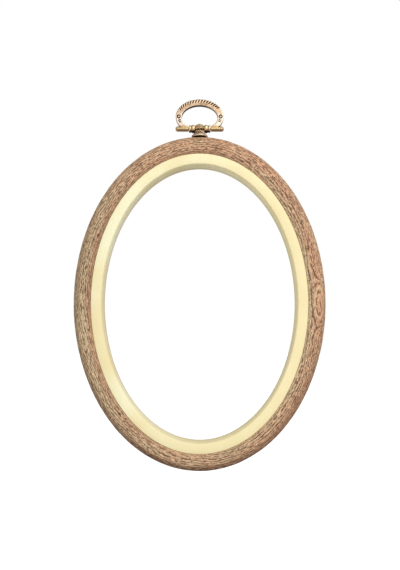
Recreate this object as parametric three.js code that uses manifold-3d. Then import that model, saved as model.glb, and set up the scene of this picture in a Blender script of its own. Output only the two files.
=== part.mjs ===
// An oval embroidery hoop of the flexible kind, which hangs by a loop and so also frames the finished work.
// A soft outer ring is stretched over a rigid inner ring, and the fabric is held between the two.
// At the top a cast post stands on the outer ring, and the hanging loop turns on a pin through the post.
// Millimetres, +Z up. The front, where the stitching shows, faces -Y. The pieces are modelled about the centre
// of the oval, halfway between the faces of the inner ring, and then moved so that the nail's seat is the origin.
import * as THREE from "three";
import { mergeVertices } from "three/addons/utils/BufferGeometryUtils.js";
import Module from "manifold-3d";

const wasm = await Module();
wasm.setup();

// The oval on which the two rings meet: a hoop sold as 4 by 5.5 inches
const seatHalfWidth = 50.7;
const seatHalfHeight = 70.0;
const ringFitGap = 0.3;
const ringSteps = 80;

// Outer ring section, measured outwards from the seat oval, and forwards for the crest
const outerRingWidth = 8.6;
const outerCrestOffset = 3.8;
const outerFrontRise = 1.0;
const outerLipDrop = 0.3;
const outerBackRound = 3.2;

// Inner ring section, ribs and the lip that seats behind the outer ring
const innerRingWidth = 5.15;
const innerRingDepth = 10.0;
const landCrown = 0.2;
const innerWall = 1.6;
const innerFrontThickness = 1.8;
const windowRoundWidth = 0.6;
const windowRoundDepth = 2.0;
const seatEdgeRadius = 0.25;
const lipReach = 2.0;
const lipThickness = 1.6;
const lipEdge = 0.3;
const ribCount = 28;
const ribThickness = 0.9;
const ribSetback = 1.2;
const ribBite = 0.3;

// Clearances: round a piece that turns, between faces screwed together, and at the ends of a piece that turns
const runningGap = 0.1;
const seatingGap = 0.1;
const endGap = 0.25;

// Flat seat for the post, cut into the crown of the outer ring, and how far the post stands in front of the
// ring's middle
const postSeatDepth = 0.45;
const postSeatGap = 0.3;
const postForward = 0.35;

// Post: a flange, a neck with twisted flutes, a four-sided boss and two beads on each side of it
const flangeRadius = 3.85;
const flangeThickness = 1.35;
const neckFootSetback = 0.6;
const neckHeight = 1.75;
const neckTopRadius = 2.45;
const fluteCount = 14;
const fluteDepth = 0.28;
const fluteTwist = 30;
const fluteFade = 0.35;
const bossRadius = 2.55;
const bossShoulderRadius = 2.0;
const bossShoulderX = 1.7;
const bossEndRadius = 1.5;
const bossHalfLength = 2.1;
const bossSunk = 1.35;
const beadLength = 1.9;
const beadRadius = 1.92;
const outerBeadLength = 1.1;
const outerBeadRadius = 1.72;
const beadEndRadius = 1.4;
const shankSetback = 1.8;
const shankWall = 0.8;
const shankGap = 0.15;

// Pin, and the loop's knuckles that it holds
const pinRadius = 0.7;
const pinHeadRadius = 0.95;
const pinHeadHeight = 0.35;
const knuckleRadius = 1.18;
const knuckleLength = 5.55;
const knuckleEdge = 0.22;

// Hanging loop: an oval bow whose heights are taken from the pin
const loopHalfWidth = 11.25;
const loopTop = 13.75;
const loopCentreHeight = 5.55;
const loopSideBand = 2.8;
const loopTopBand = 3.0;
const windowCentreHeight = 4.95;
const windowBottomHeight = 0.15;
const loopThickness = 2.2;
const loopEdge = 0.35;
const loopSteps = 44;
const studRadius = 0.55;
const studRise = 0.2;
const studRingRadius = 0.98;
const studRingDepth = 0.3;
const dashAngle = 18;
const dashLength = 1.4;
const dashRadius = 0.2;
const dashPitch = 0.8;
const gadroonCount = 17;
const gadroonSpread = 116;
const gadroonRadius = 0.34;
const gadroonLength = 2.0;
const gadroonSlant = 26;

// Screw and washer, sunk into the inside of the outer ring
const screwRadius = 1.0;
const screwHoleGap = 0.25;
const screwHeadRadius = 1.9;
const screwHeadHeight = 1.2;
const screwSlotWidth = 0.5;
const screwSlotDepth = 0.55;
const screwTipGap = 0.6;
const screwChamfer = 0.35;
const washerReach = 0.6;
const washerThickness = 0.4;
const recessGap = 0.2;
const headSetback = 0.5;

// Places that follow from the sizes above
const frontY = -innerRingDepth / 2;
const backY = innerRingDepth / 2;
const crestY = frontY - outerFrontRise;
const outerWallU = ringFitGap / 2;
const innerWallU = -ringFitGap / 2;
const windowU = -innerRingWidth;
const washerRadius = screwHeadRadius + washerReach;
const recessRadius = washerRadius + recessGap;
const headBottomZ = seatHalfHeight + outerWallU + headSetback;
const headTopZ = headBottomZ + screwHeadHeight;
const washerZ = headTopZ + seatingGap;
const recessFloorZ = washerZ + washerThickness + seatingGap;
const postSeatZ = seatHalfHeight + outerRingWidth - postSeatDepth;
const postSeatRadius = flangeRadius + postSeatGap;
const flangeZ = postSeatZ + seatingGap;
const neckZ = flangeZ + flangeThickness;
const neckTopZ = neckZ + neckHeight;
const pinZ = neckTopZ + bossRadius - bossSunk;
const screwBoreRadius = screwRadius + runningGap;
const screwTipZ = flangeZ - screwTipGap;
const shankRadius = screwBoreRadius + shankWall;
const shankEndZ = recessFloorZ + shankSetback;
const pinBoreRadius = pinRadius + runningGap;
const outerBeadX = bossHalfLength + beadLength;
const barrelHalfLength = outerBeadX + outerBeadLength;
const knuckleStart = barrelHalfLength + endGap;
const knuckleEnd = knuckleStart + knuckleLength;
const pinHeadX = knuckleEnd + seatingGap;
const windowTopHeight = loopTop - loopTopBand;
const windowHalfWidth = loopHalfWidth - loopSideBand;
const nailSeatZ = pinZ + windowTopHeight;

// A closed solid from a geometry, by its positions alone. Triangles with no area, as at poles, are left out.
function solidFrom(geometry) {
  const bare = new THREE.BufferGeometry();
  bare.setAttribute("position", geometry.getAttribute("position").clone());
  if (geometry.index) bare.setIndex(geometry.index.clone());
  const welded = mergeVertices(bare, 1e-4);
  const corners = welded.index.array;
  const faces = [];
  for (let i = 0; i < corners.length; i += 3) {
    const [a, b, c] = corners.slice(i, i + 3);
    if (a !== b && b !== c && c !== a) faces.push(a, b, c);
  }
  return new wasm.Manifold(
    new wasm.Mesh({
      numProp: 3,
      vertProperties: new Float32Array(welded.attributes.position.array),
      triVerts: new Uint32Array(faces),
    }),
  );
}

function geometryFrom(solid) {
  const mesh = solid.getMesh();
  const geometry = new THREE.BufferGeometry();
  geometry.setAttribute("position", new THREE.BufferAttribute(new Float32Array(mesh.vertProperties), 3));
  geometry.setIndex(new THREE.BufferAttribute(new Uint32Array(mesh.triVerts), 1));
  geometry.computeVertexNormals();
  return geometry;
}

function joined(geometries) {
  return geometries.map(solidFrom).reduce((whole, solid) => whole.add(solid));
}

function without(solid, geometries) {
  return geometries.map(solidFrom).reduce((rest, tool) => rest.subtract(tool), solid);
}

// Points of an elliptical arc, angles in degrees, both ends included.
function arc(centreU, centreV, radiusU, radiusV, from, to, steps) {
  const points = [];
  for (let i = 0; i <= steps; i++) {
    const angle = THREE.MathUtils.degToRad(from + ((to - from) * i) / steps);
    points.push([centreU + radiusU * Math.cos(angle), centreV + radiusV * Math.sin(angle)]);
  }
  return points;
}

// A solid of revolution about Z. The profile is a list of [radius, height], from the lowest point upwards.
function turned(profile, steps) {
  const outline = profile.map(([radius, height]) => new THREE.Vector2(Math.max(radius, 0), height));
  return new THREE.LatheGeometry(outline, steps).rotateX(Math.PI / 2);
}

// The same about X, with [radius, x] from left to right.
function turnedAboutX(profile, steps) {
  return turned(profile, steps).rotateY(Math.PI / 2);
}

function rodProfile(radius, from, to) {
  return [
    [0, from],
    [radius, from],
    [radius, to],
    [0, to],
  ];
}

// A profile given for x from 0 upwards, with its mirror image to the left of it.
function bothSides(half) {
  const mirrored = half.map(([radius, x]) => [radius, -x]).reverse();
  return [...mirrored, ...half];
}

// A place at angle t from the top of the seat oval, moved outwards by u square to the oval.
function ovalPlace(t, u) {
  const outwards = new THREE.Vector2(Math.sin(t) / seatHalfWidth, Math.cos(t) / seatHalfHeight).normalize();
  const x = seatHalfWidth * Math.sin(t) + u * outwards.x;
  const z = seatHalfHeight * Math.cos(t) + u * outwards.y;
  return { x, z, outwards };
}

// A ring with one section all round the oval. The section is a closed list of [outwards, y], and runs
// outwards along the front and inwards along the back.
function ovalRing(section) {
  const count = section.length;
  const positions = [];
  const indices = [];
  for (let i = 0; i < ringSteps; i++) {
    const t = (2 * Math.PI * i) / ringSteps;
    const next = (i + 1) % ringSteps;
    section.forEach(([u, y], j) => {
      const { x, z } = ovalPlace(t, u);
      positions.push(x, y, z);
      const k = (j + 1) % count;
      indices.push(i * count + j, next * count + j, next * count + k);
      indices.push(i * count + j, next * count + k, i * count + k);
    });
  }
  const geometry = new THREE.BufferGeometry();
  geometry.setAttribute("position", new THREE.Float32BufferAttribute(positions, 3));
  geometry.setIndex(indices);
  return geometry;
}

// Outer ring: a rounded crown in front, a full outside, a flat back, and a rebate for the inner ring's lip.
// At the top it has a flat seat for the post, a hole for its shank and, on the inside, a recess for the screw.
function outerRing() {
  const edgeY = frontY + outerLipDrop;
  const rebateU = lipReach + ringFitGap;
  const rebateY = backY - lipThickness - ringFitGap;
  const backRoundU = outerRingWidth - outerBackRound;
  const section = [
    ...arc(outerCrestOffset, edgeY, outerCrestOffset - outerWallU, edgeY - crestY, 180, 270, 4),
    ...arc(outerCrestOffset, 0, outerRingWidth - outerCrestOffset, -crestY, 270, 360, 7).slice(1),
    ...arc(backRoundU, 0, outerBackRound, backY, 0, 90, 5).slice(1),
    [rebateU, backY],
    [rebateU, rebateY],
    [outerWallU, rebateY],
  ];
  const insideZ = seatHalfHeight - innerRingWidth;
  const aboveRing = seatHalfHeight + 2 * outerRingWidth;
  const cuts = [
    turned(rodProfile(postSeatRadius, postSeatZ, aboveRing), 36),
    turned(rodProfile(recessRadius, insideZ, recessFloorZ), 32),
    turned(rodProfile(screwRadius + screwHoleGap, insideZ, aboveRing), 24),
    turned(rodProfile(shankRadius + shankGap, shankEndZ - seatingGap, aboveRing), 24),
  ];
  return without(
    solidFrom(ovalRing(section)),
    cuts.map((cut) => cut.translate(0, -postForward, 0)),
  );
}

// Inner ring: a lightly crowned front that rolls over into the window, and a lip at the back. It is cored out
// from behind, and ribs stiffen the channel that is left.
function innerRing() {
  const coreInnerU = windowU + innerWall;
  const coreOuterU = innerWallU - innerWall;
  const coreEndY = frontY + innerFrontThickness;
  const landInnerU = windowU + windowRoundWidth;
  const landOuterU = innerWallU - seatEdgeRadius;
  const landEdgeY = frontY + landCrown;
  const land = [-0.5, 0, 0.5].map((s) => [
    THREE.MathUtils.lerp(landInnerU, landOuterU, 0.5 + s / 2),
    frontY + landCrown * s * s,
  ]);
  const section = [
    ...arc(landInnerU, landEdgeY + windowRoundDepth, windowRoundWidth, windowRoundDepth, 180, 270, 5),
    ...land,
    ...arc(landOuterU, landEdgeY + seatEdgeRadius, seatEdgeRadius, seatEdgeRadius, 270, 360, 2),
    [innerWallU, backY - lipThickness],
    [lipReach, backY - lipThickness],
    [lipReach, backY - lipEdge],
    [lipReach - lipEdge, backY],
    [coreOuterU, backY],
    [coreOuterU, coreEndY],
    [coreInnerU, coreEndY],
    [coreInnerU, backY],
    [windowU + lipEdge, backY],
    [windowU, backY - lipEdge],
  ];
  const ribs = [];
  for (let i = 0; i < ribCount; i++) {
    const { x, z, outwards } = ovalPlace((2 * Math.PI * (i + 0.5)) / ribCount, (coreInnerU + coreOuterU) / 2);
    const ribDepth = backY - ribSetback - coreEndY + ribBite;
    const rib = new THREE.BoxGeometry(coreOuterU - coreInnerU + 2 * ribBite, ribDepth, ribThickness);
    rib.rotateY(-Math.atan2(outwards.y, outwards.x));
    rib.translate(x, backY - ribSetback - ribDepth / 2, z);
    ribs.push(rib);
  }
  return joined([ovalRing(section), ...ribs]);
}

// The neck between flange and boss. Its twisted flutes fade out towards the foot.
function flutedNeck() {
  const rows = 4;
  const footRadius = flangeRadius - neckFootSetback;
  const side = Array.from({ length: rows + 1 }, (_, i) => [
    THREE.MathUtils.lerp(footRadius, neckTopRadius, Math.sin(((i / rows) * Math.PI) / 2)),
    neckZ + (neckHeight * i) / rows,
  ]);
  const foot = [
    [0, neckZ - flangeThickness / 2],
    [footRadius, neckZ - flangeThickness / 2],
  ];
  const neck = turned([...foot, ...side, [0, pinZ]], fluteCount * 4);
  const place = neck.getAttribute("position");
  for (let i = 0; i < place.count; i++) {
    const radius = Math.hypot(place.getX(i), place.getY(i));
    if (radius < neckTopRadius / 2) continue;
    const rise = THREE.MathUtils.clamp((place.getZ(i) - neckZ) / neckHeight, 0, 1);
    const angle = Math.atan2(place.getY(i), place.getX(i)) + THREE.MathUtils.degToRad(fluteTwist * rise);
    const wave = 0.5 - 0.5 * Math.cos(fluteCount * angle);
    const depth = fluteDepth * Math.min(1, rise / fluteFade) * wave;
    place.setXY(i, place.getX(i) * (1 - depth / radius), place.getY(i) * (1 - depth / radius));
  }
  return neck;
}

// The four-sided boss in the middle of the barrel: two blunt pyramids, with an edge at the top and in front.
function barrelBoss() {
  const half = [
    [bossShoulderRadius, bossShoulderX],
    [bossEndRadius, bossHalfLength],
    [0, bossHalfLength],
  ];
  const left = half.map(([radius, x]) => [radius, -x]).reverse();
  return turnedAboutX([...left, [bossRadius, 0], ...half], 4);
}

// The rest of the barrel: a core, and two beads at each end, the outer one smaller.
function barrelBeads() {
  const bead = (startX, length, radius) =>
    arc(startX + length / 2, beadEndRadius, length / 2, radius - beadEndRadius, 180, 0, 6);
  const outerBead = bead(outerBeadX, outerBeadLength, outerBeadRadius).slice(1);
  const outline = [...bead(bossHalfLength, beadLength, beadRadius), ...outerBead].map(([x, radius]) => [radius, x]);
  return turnedAboutX(bothSides([...outline, [0, barrelHalfLength]]), 20);
}

// Post: the shank that reaches into the outer ring, the flange, the fluted neck, and the barrel for the pin.
function hangerPost() {
  const edge = flangeThickness / 2;
  const flange = [
    [0, flangeZ],
    ...arc(flangeRadius - edge, flangeZ + edge, edge, edge, -90, 60, 5),
    [0, neckZ],
  ];
  const barrel = [barrelBoss(), barrelBeads()].map((piece) => piece.translate(0, 0, pinZ));
  const shank = turned(rodProfile(shankRadius, shankEndZ, neckZ - edge), 24);
  const solid = joined([turned(flange, 36), flutedNeck(), shank, ...barrel]);
  const pinBore = turnedAboutX(rodProfile(pinBoreRadius, -knuckleEnd, knuckleEnd), 20).translate(0, 0, pinZ);
  const screwBore = turned(rodProfile(screwBoreRadius, shankEndZ - seatingGap, flangeZ), 20);
  return without(solid, [pinBore, screwBore]).translate(0, -postForward, 0);
}

// Points round an oval whose upper and lower halves each have their own height.
function ovalPoints(centreHeight, halfWidth, upperHeight, lowerHeight) {
  const points = [];
  for (let i = 0; i < loopSteps; i++) {
    const angle = (2 * Math.PI * i) / loopSteps;
    const height = Math.sin(angle) > 0 ? upperHeight : lowerHeight;
    points.push(new THREE.Vector2(halfWidth * Math.cos(angle), centreHeight + height * Math.sin(angle)));
  }
  return points;
}

// A place on the bow's outer edge, at an angle in degrees from the top, with the direction outwards.
function bowPlace(degrees) {
  const angle = THREE.MathUtils.degToRad(degrees);
  const halfHeight = loopTop - loopCentreHeight;
  const x = loopHalfWidth * Math.sin(angle);
  const z = loopCentreHeight + halfHeight * Math.cos(angle);
  const outwards = new THREE.Vector2(Math.sin(angle) / loopHalfWidth, Math.cos(angle) / halfHeight);
  return { x, z, outwards: outwards.normalize() };
}

// The loop's flat bow with rounded edges.
function loopBow() {
  const halfHeight = loopTop - loopCentreHeight - loopEdge;
  const outline = ovalPoints(loopCentreHeight, loopHalfWidth - loopEdge, halfHeight, halfHeight);
  const upperHeight = windowTopHeight - windowCentreHeight + loopEdge;
  const lowerHeight = windowCentreHeight - windowBottomHeight + loopEdge;
  const window = ovalPoints(windowCentreHeight, windowHalfWidth + loopEdge, upperHeight, lowerHeight);
  const shape = new THREE.Shape(outline);
  shape.holes.push(new THREE.Path(window));
  const bow = new THREE.ExtrudeGeometry(shape, {
    depth: loopThickness - 2 * loopEdge,
    bevelThickness: loopEdge,
    bevelSize: loopEdge,
    bevelSegments: 2,
  });
  return bow.translate(0, 0, loopEdge - loopThickness / 2).rotateX(Math.PI / 2);
}

// A rosette on each side of the bow, at its widest: a stud on each face, in the middle of a sunk ring.
function rosettePlace(side) {
  return side * (loopHalfWidth - loopSideBand / 2);
}

function studs(side) {
  const studDepth = loopThickness + 2 * studRise;
  const stud = turned(rodProfile(studRadius, -studDepth / 2, studDepth / 2), 16).rotateX(Math.PI / 2);
  return stud.translate(rosettePlace(side), 0, loopCentreHeight);
}

// What is cut from both faces of the bow on one side: the rosette's ring, and a pair of short dashes below it.
function faceCuts(side) {
  const { x, z, outwards } = bowPlace(side * (90 + dashAngle));
  const cuts = [];
  for (const face of [-1, 1]) {
    const faceY = (face * loopThickness) / 2;
    const ring = turned(rodProfile(studRingRadius, -studRingDepth, studRingDepth), 20).rotateX(Math.PI / 2);
    cuts.push(ring.translate(rosettePlace(side), faceY, loopCentreHeight));
    for (const place of [-0.5, 0.5]) {
      const dash = turnedAboutX(rodProfile(dashRadius, -dashLength / 2, dashLength / 2), 6);
      dash.translate(-loopSideBand / 2, faceY, place * dashPitch).rotateY(-Math.atan2(outwards.y, outwards.x));
      cuts.push(dash.translate(x, 0, z));
    }
  }
  return cuts;
}

// Slanted gadroons: grooves cut into the outer half of the crown, on both faces.
function gadroons() {
  const grooves = [];
  for (let i = 0; i < gadroonCount; i++) {
    const { x, z, outwards } = bowPlace(gadroonSpread * (i / (gadroonCount - 1) - 0.5));
    const lean = Math.atan2(outwards.x, outwards.y) + THREE.MathUtils.degToRad(gadroonSlant);
    for (const face of [-1, 1]) {
      const groove = turned(rodProfile(gadroonRadius, -gadroonLength, gadroonLength / 2), 6).rotateY(lean);
      grooves.push(groove.translate(x, (face * loopThickness) / 2, z));
    }
  }
  return grooves;
}

// Hanging loop: the bow above the pin, and a bored knuckle on each side of the post's barrel.
function hangingLoop() {
  const reach = 4 * loopHalfWidth;
  const belowPin = new THREE.BoxGeometry(reach, reach, reach).translate(0, 0, -reach / 2);
  const barrelSpace = new THREE.BoxGeometry(2 * knuckleStart, reach, 4 * knuckleRadius);
  const carved = without(joined([loopBow()]), [...gadroons(), ...faceCuts(-1), ...faceCuts(1)]);
  const studded = carved.add(joined([studs(-1), studs(1)]));
  const bow = without(studded, [belowPin, barrelSpace]);
  const outerEdge = arc(knuckleEnd - knuckleEdge, knuckleRadius - knuckleEdge, knuckleEdge, knuckleEdge, 90, 0, 2);
  const knuckle = [
    [0, knuckleStart],
    [knuckleRadius, knuckleStart],
    ...outerEdge.map(([x, radius]) => [radius, x]),
    [0, knuckleEnd],
  ];
  const right = turnedAboutX(knuckle, 20);
  const left = right.clone().rotateZ(Math.PI);
  const bore = turnedAboutX(rodProfile(pinBoreRadius, -2 * knuckleEnd, 2 * knuckleEnd), 20);
  return without(bow.add(joined([left, right])), [bore]).translate(0, -postForward, pinZ);
}

// Pin: a plain shaft with a domed head against the outer end of each knuckle.
function hingePin() {
  const head = arc(pinHeadX, 0, pinHeadHeight, pinHeadRadius, 90, 0, 4).map(([x, radius]) => [radius, x]);
  const pin = turnedAboutX(bothSides([[pinRadius, pinHeadX], ...head]), 20);
  return solidFrom(pin.translate(0, -postForward, pinZ));
}

// Screw: a slotted, domed head inside the outer ring and a plain shank up into the post.
function hangerScrew() {
  const crown = screwHeadHeight / 2;
  const profile = [
    ...arc(0, headBottomZ + crown, screwHeadRadius, crown, -90, 0, 4),
    [screwHeadRadius, headTopZ],
    [screwRadius, headTopZ],
    [screwRadius, screwTipZ - screwChamfer],
    [screwRadius - screwChamfer, screwTipZ],
    [0, screwTipZ],
  ];
  const slot = new THREE.BoxGeometry(3 * screwHeadRadius, screwSlotWidth, 2 * screwSlotDepth);
  const solid = without(joined([turned(profile, 24)]), [slot.translate(0, 0, headBottomZ)]);
  return solid.translate(0, -postForward, 0);
}

function screwWasher() {
  const disc = joined([turned(rodProfile(washerRadius, washerZ, washerZ + washerThickness), 32)]);
  const hole = turned(rodProfile(screwRadius + screwHoleGap, headTopZ, recessFloorZ), 24);
  return without(disc, [hole]).translate(0, -postForward, 0);
}

const grainedVinyl = new THREE.MeshStandardMaterial({ color: 0xb98f6c, roughness: 0.62, metalness: 0 });
const creamPlastic = new THREE.MeshStandardMaterial({ color: 0xf3e6b8, roughness: 0.4, metalness: 0 });
const postBrass = new THREE.MeshStandardMaterial({ color: 0xb59a66, roughness: 0.4, metalness: 0.9 });
const loopBrass = new THREE.MeshStandardMaterial({ color: 0xd8b07c, roughness: 0.38, metalness: 0.9 });
const pinBrass = new THREE.MeshStandardMaterial({ color: 0x9c8450, roughness: 0.35, metalness: 0.9 });
const screwSteel = new THREE.MeshStandardMaterial({ color: 0xb5ab98, roughness: 0.35, metalness: 0.9 });
const washerSteel = new THREE.MeshStandardMaterial({ color: 0xc4bfb4, roughness: 0.3, metalness: 0.9 });

const hoop = new THREE.Group();

function addPiece(name, solid, material) {
  const mesh = new THREE.Mesh(geometryFrom(solid), material);
  mesh.name = name;
  hoop.add(mesh);
}

addPiece("outer_ring", outerRing(), grainedVinyl);
addPiece("inner_ring", innerRing(), creamPlastic);
addPiece("hanger_post", hangerPost(), postBrass);
addPiece("hanging_loop", hangingLoop(), loopBrass);
addPiece("hinge_pin", hingePin(), pinBrass);
addPiece("hanger_screw", hangerScrew(), screwSteel);
addPiece("screw_washer", screwWasher(), washerSteel);
hoop.position.z = -nailSeatZ;

export default hoop;
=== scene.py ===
"""Looks of an oval embroidery hoop, built round its CAD frame.

A grained outer ring is stretched over a cream inner ring, and a cast post carries the hanging loop.
Shapes are worked out in millimetres and scaled to metres at the end of each operator.
"""

import math
from types import SimpleNamespace

import bmesh
import bpy
import numpy as np
from bpy.props import FloatProperty, FloatVectorProperty, IntProperty, PointerProperty
from mathutils import Matrix, Vector


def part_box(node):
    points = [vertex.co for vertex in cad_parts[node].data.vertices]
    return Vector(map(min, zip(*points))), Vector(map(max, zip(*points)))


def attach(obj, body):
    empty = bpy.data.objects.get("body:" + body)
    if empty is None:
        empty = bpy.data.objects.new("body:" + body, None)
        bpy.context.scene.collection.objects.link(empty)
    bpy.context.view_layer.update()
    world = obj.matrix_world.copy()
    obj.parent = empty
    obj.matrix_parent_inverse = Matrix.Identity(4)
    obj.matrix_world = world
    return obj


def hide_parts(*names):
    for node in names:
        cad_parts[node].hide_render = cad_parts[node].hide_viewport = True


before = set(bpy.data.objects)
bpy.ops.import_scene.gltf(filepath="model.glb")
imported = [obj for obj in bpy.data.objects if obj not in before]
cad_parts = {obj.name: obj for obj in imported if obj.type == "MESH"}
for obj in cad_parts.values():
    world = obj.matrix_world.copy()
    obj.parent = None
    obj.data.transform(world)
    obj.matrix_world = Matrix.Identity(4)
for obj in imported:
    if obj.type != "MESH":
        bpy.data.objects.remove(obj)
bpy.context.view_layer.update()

bl_info = {
    "name": "Embroidery hoop",
    "version": (1, 0, 0),
    "blender": (4, 5, 0),
    "location": "View3D > Sidebar > Hoop",
    "description": "Builds the grained ring, the cream ring and the cast hanger of an embroidery hoop",
    "category": "Add Mesh",
}

MM = 0.001
WHITE = (1.0, 1.0, 1.0, 1.0)

# Gaps, small sizes and angles that are the CAD's own, in millimetres and degrees.
SEATING_GAP = 0.1
HOLE_GAP = 0.25
RECESS_GAP = 0.2
SHANK_WALL = 0.8
SHANK_GAP = 0.15
PIN_HEAD = 0.35
SCREW_CHAMFER = 0.35
CAD_KNUCKLE_GAP = 0.25
GADROON_SPREAD = 116
GADROON_SLANT = 26
DASH_PLACE = 108
STUD_RADIUS = 0.55

# The looks' own, in millimetres: the knuckles come closer to the barrel, and small forms are finer.
KNUCKLE_GAP = 0.15
BEAD_NECK = 1.45
BOW_ROUND = 0.42
ROSETTE_RADIUS = 0.92
ROSETTE_DEPTH = 0.26
THREAD_DEPTH = 0.2

# The middle of the grain's closed figure, as a share of the way round and in millimetres across the skin.
HEART_TURN = 0.249
HEART_ACROSS = 5.6

# How dark the cut seat under the post's flange is painted, from 0 to 1: painted shade under the flange.
SEAT_SHADE = 0.7

# How finely the rings are divided: millimetres across the outer ring's skin, and steps round each ring.
SKIN_SPACING = 0.212
RING_STEPS = 800
INNER_RING_STEPS = 400

# The camera's place beside and below the oval's middle in millimetres, and its shift in image widths.
CAMERA_X = 2.95
CAMERA_DROP = 9.26
CAMERA_SHIFT = (-5.91 / 570, 38.79 / 570)

# The key lamp's place in metres: in front, above and to the right.
KEY_PLACE = (0.25, -0.59, 0.298)


def node_box(node):
    """Lowest and highest corner of a CAD node, in millimetres."""
    low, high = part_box(node)
    return np.array(low) / MM, np.array(high) / MM


RING_LOW, RING_HIGH = node_box("outer_ring")
INNER_LOW, INNER_HIGH = node_box("inner_ring")
PIN_LOW, PIN_HIGH = node_box("hinge_pin")
POST_LOW = node_box("hanger_post")[0]
SCREW_LOW, SCREW_HIGH = node_box("hanger_screw")
WASHER_LOW, WASHER_HIGH = node_box("screw_washer")
LOOP_HIGH = node_box("hanging_loop")[1]
OVAL_Z = (INNER_LOW[2] + INNER_HIGH[2]) / 2
PIN_Y = (PIN_LOW[1] + PIN_HIGH[1]) / 2
PIN_Z = (PIN_LOW[2] + PIN_HIGH[2]) / 2


def length(name, description, millimetres):
    """A length that a user can change, held in metres as Blender does."""
    return FloatProperty(
        name=name, description=description, default=millimetres * MM, min=0.0, unit="LENGTH", precision=5
    )


def shade(name, description, red, green, blue):
    """A colour that a user can change, given as it is seen and held as light."""
    seen = (red, green, blue)
    light = tuple(c / 12.92 if c <= 0.04045 else ((c + 0.055) / 1.055) ** 2.4 for c in seen)
    return FloatVectorProperty(
        name=name, description=description, default=light, min=0.0, max=1.0, size=3, subtype="COLOR"
    )


class HoopRings(bpy.types.PropertyGroup):
    """Sizes of the two rings."""

    lip_reach: length("Lip reach", "How far the inner ring's lip stands out behind the outer ring", 2.0)
    fit_gap: length("Fit gap", "Space between the rings", 0.3)
    lip_gap: length("Lip gap", "Space that the outer ring's soft lip leaves in front", 0.08)
    outer_width: length("Outer width", "Width of the outer ring", 8.6)
    crest_offset: length("Crest offset", "From the seat to the highest line of the outer ring", 3.8)
    lip_drop: length("Edge drop", "From the inner ring's face back to the outer ring's inner edge", 0.3)
    back_round: length("Back round", "Width of the round at the back of the outer ring", 3.2)
    post_seat_gap: length("Post seat gap", "Room round the post's flange in its seat", 0.3)
    grain_pitch: length("Grain pitch", "From one grain line to the next", 1.0)
    grain_depth: length("Grain depth", "Depth of the deepest grain lines", 0.22)
    inner_width: length("Inner width", "Width of the inner ring", 5.15)
    land_crown: length("Land crown", "How much the inner ring's face is crowned", 0.2)
    wall: length("Wall", "Wall of the inner ring's channel", 1.6)
    face_thickness: length("Face thickness", "Thickness of the inner ring's front", 1.8)
    window_round_width: length("Window round, width", "Width of the roll-over into the window", 0.6)
    window_round_depth: length("Window round, depth", "Depth of the roll-over into the window", 2.0)
    seat_round: length("Seat round", "Radius of the inner ring's outer edge", 0.25)
    lip_thickness: length("Lip thickness", "Thickness of the lip", 1.6)
    lip_edge: length("Lip edge", "Bevel of the lip and of the window's back edge", 0.3)
    rib_count: IntProperty(name="Ribs", description="Number of ribs in the channel", default=28, min=3)
    rib_thickness: length("Rib thickness", "Thickness of a rib", 0.9)
    rib_setback: length("Rib setback", "How far the ribs stay below the back", 1.2)


class HoopHanger(bpy.types.PropertyGroup):
    """Sizes of the post, the hanging loop, the pin, the screw and the washer."""

    flange_radius: length("Flange radius", "Radius of the post's flange", 3.85)
    flange_thickness: length("Flange thickness", "Thickness of the post's flange", 1.35)
    neck_height: length("Neck height", "From the flange to the barrel", 1.75)
    neck_radius: length("Neck radius", "Radius of the neck at its top", 2.45)
    flutes: IntProperty(name="Flutes", description="Number of flutes round the neck", default=14, min=3)
    flute_depth: length("Flute depth", "Depth of the flutes", 0.34)
    flute_twist: FloatProperty(
        name="Flute twist", description="Turn of the flutes from foot to top", default=math.radians(30),
        subtype="ANGLE",
    )
    boss_radius: length("Boss radius", "Reach of the four-sided boss", 2.55)
    boss_half: length("Half boss", "Half the length of the boss", 2.1)
    boss_sunk: length("Boss sunk", "How far the boss reaches down into the neck", 1.35)
    bead_radius: length("Bead radius", "Radius of the larger beads on the barrel", 1.92)
    outer_bead_radius: length("Outer bead radius", "Radius of the smaller beads at the barrel's ends", 1.72)
    bead_length: length("Bead length", "Length of the larger beads", 1.9)
    outer_bead_length: length("Outer bead length", "Length of the smaller beads", 1.1)
    knuckle_radius: length("Knuckle radius", "Radius of the loop's knuckles", 1.18)
    knuckle_length: length("Knuckle length", "Length of a knuckle", 5.55)
    loop_centre: length("Bow's centre", "From the pin up to the middle of the bow's outline", 5.55)
    loop_side_band: length("Side band", "Width of the bow at its sides", 2.8)
    window_centre: length("Opening's centre", "From the pin up to the widest part of the opening", 4.95)
    window_bottom: length("Opening's foot", "From the pin up to the foot of the opening's oval", 0.15)
    loop_thickness: length("Loop thickness", "Thickness of the bow", 2.2)
    gadroons: IntProperty(name="Gadroons", description="Slanted grooves on the crown", default=17, min=2)
    pin_radius: length("Pin radius", "Radius of the pin's shaft", 0.7)
    running_gap: length("Running gap", "Space round a piece that turns", 0.1)
    screw_radius: length("Screw radius", "Radius of the screw over its thread", 1.0)
    thread_pitch: length("Thread pitch", "Pitch of the screw's thread", 0.4)
    cast_grain: length("Casting detail", "Size of the smallest detail of the castings", 0.085)


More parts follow.
